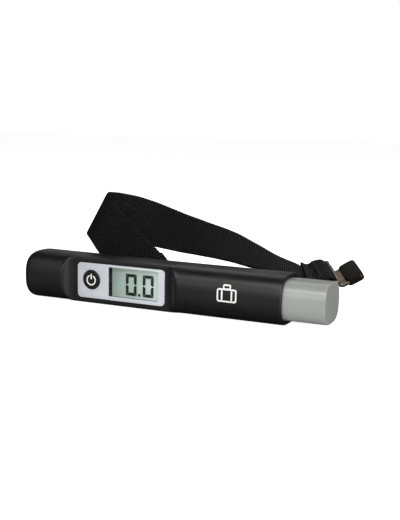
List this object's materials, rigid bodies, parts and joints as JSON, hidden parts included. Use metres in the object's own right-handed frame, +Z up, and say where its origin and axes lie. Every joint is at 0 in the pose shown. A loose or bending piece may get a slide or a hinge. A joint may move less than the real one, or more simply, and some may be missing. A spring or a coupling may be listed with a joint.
{
  "type": "digital luggage scale",
  "caption": "Hand-held tube luggage scale with a recessed display, a tare button, a pull-out battery drawer and a webbing strap that ends in a steel hook.",
  "frame": {"origin": "on the narrow flat under the tube, 77 mm from the domed end (0.5 mm from the middle of the 152.9 mm overall length), in the middle of the tube's depth", "axes": "+X along the tube towards the grey battery drawer, -Y the display side, +Y the strap side, +Z up"},
  "size_m": [0.1578, 0.0635, 0.0514],
  "materials": {
    "satin_black_abs": "satin black ABS, slightly glossy",
    "gloss_black_abs": "smooth black moulding",
    "silver_panel": "silver-grey satin panel",
    "grey_paint": "light grey satin paint on ABS",
    "clear_acrylic": "clear acrylic window",
    "lcd_glass": "pale green reflective liquid-crystal display",
    "white_plastic": "white moulding",
    "grey_rubber": "soft contact rubber",
    "green_board": "solder-masked fibreglass board",
    "black_epoxy": "black potting and insulation",
    "steel": "plain steel",
    "hook_steel": "dull nickel-plated sheet steel",
    "aluminium": "milled aluminium",
    "black_webbing": "woven polypropylene webbing",
    "red_insulation": "wire insulation",
    "gauge_film": "amber gauge film"
  },
  "bodies": {
    "housing": {"front_shell": "satin_black_abs", "rear_cover": "satin_black_abs", "housing_screw_1": "steel", "housing_screw_2": "steel", "housing_screw_3": "steel", "housing_screw_4": "steel", "display_bezel": "silver_panel", "lcd_lens": "clear_acrylic", "lcd_glass": "lcd_glass", "lcd_frame": "white_plastic", "zebra_connector": "grey_rubber", "tact_switch": "steel", "circuit_board": "green_board", "board_screw_1": "steel", "board_screw_2": "steel", "board_screw_3": "steel", "board_screw_4": "steel", "controller_chip": "black_epoxy", "load_cell": "aluminium", "load_cell_screw_1": "steel", "load_cell_screw_2": "steel", "strain_gauge": "gauge_film", "load_shackle": "steel", "shackle_screw": "steel", "load_pin": "steel", "battery_contact_pos": "steel", "battery_contact_neg": "steel", "battery_wire_red": "red_insulation", "battery_wire_black": "black_epoxy", "gauge_wire_1": "white_plastic", "gauge_wire_2": "white_plastic", "gauge_wire_3": "white_plastic"},
    "button": {"unit_tare_button": "gloss_black_abs"},
    "plunger": {"switch_plunger": "black_epoxy"},
    "drawer": {"battery_drawer": "grey_paint", "battery": "steel"},
    "strap_body": {"strap": "black_webbing"},
    "bail": {"catch_bail": "steel"},
    "hook": {"hook_plate": "hook_steel", "hook_grip": "gloss_black_abs"}
  },
  "joints": [
    {"name": "button_press", "type": "slide", "parent": "housing", "child": "button", "axis": [0, 1, 0], "range_m": [0, 0.0006], "stiffness_N_per_m": 600, "springref_m": -0.0005},
    {"name": "plunger_press", "type": "slide", "parent": "housing", "child": "plunger", "axis": [0, 1, 0], "range_m": [0, 0.0004]},
    {"name": "drawer_pull", "type": "slide", "parent": "housing", "child": "drawer", "axis": [1, 0, 0], "range_m": [0, 0.045]},
    {"name": "strap_swing", "type": "hinge", "parent": "housing", "child": "strap_body", "pos_m": [-0.02, 0.008, 0.011], "axis": [1, 0, 0], "range_deg": [-2.5, 8]},
    {"name": "bail_swing", "type": "hinge", "parent": "housing", "child": "bail", "pos_m": [-0.02, 0.008, 0.011], "axis": [1, 0, 0], "range_deg": [-15, 2]},
    {"name": "hook_swing", "type": "hinge", "parent": "strap_body", "child": "hook", "pos_m": [0.0612, 0.0343, 0.01765], "axis": [0.4771, -0.8602, -0.18], "range_deg": [-35, 35]}
  ],
  "couplings": [
    {"joint": "plunger_press", "follows": "button_press", "ratio": 0.6}
  ]
}
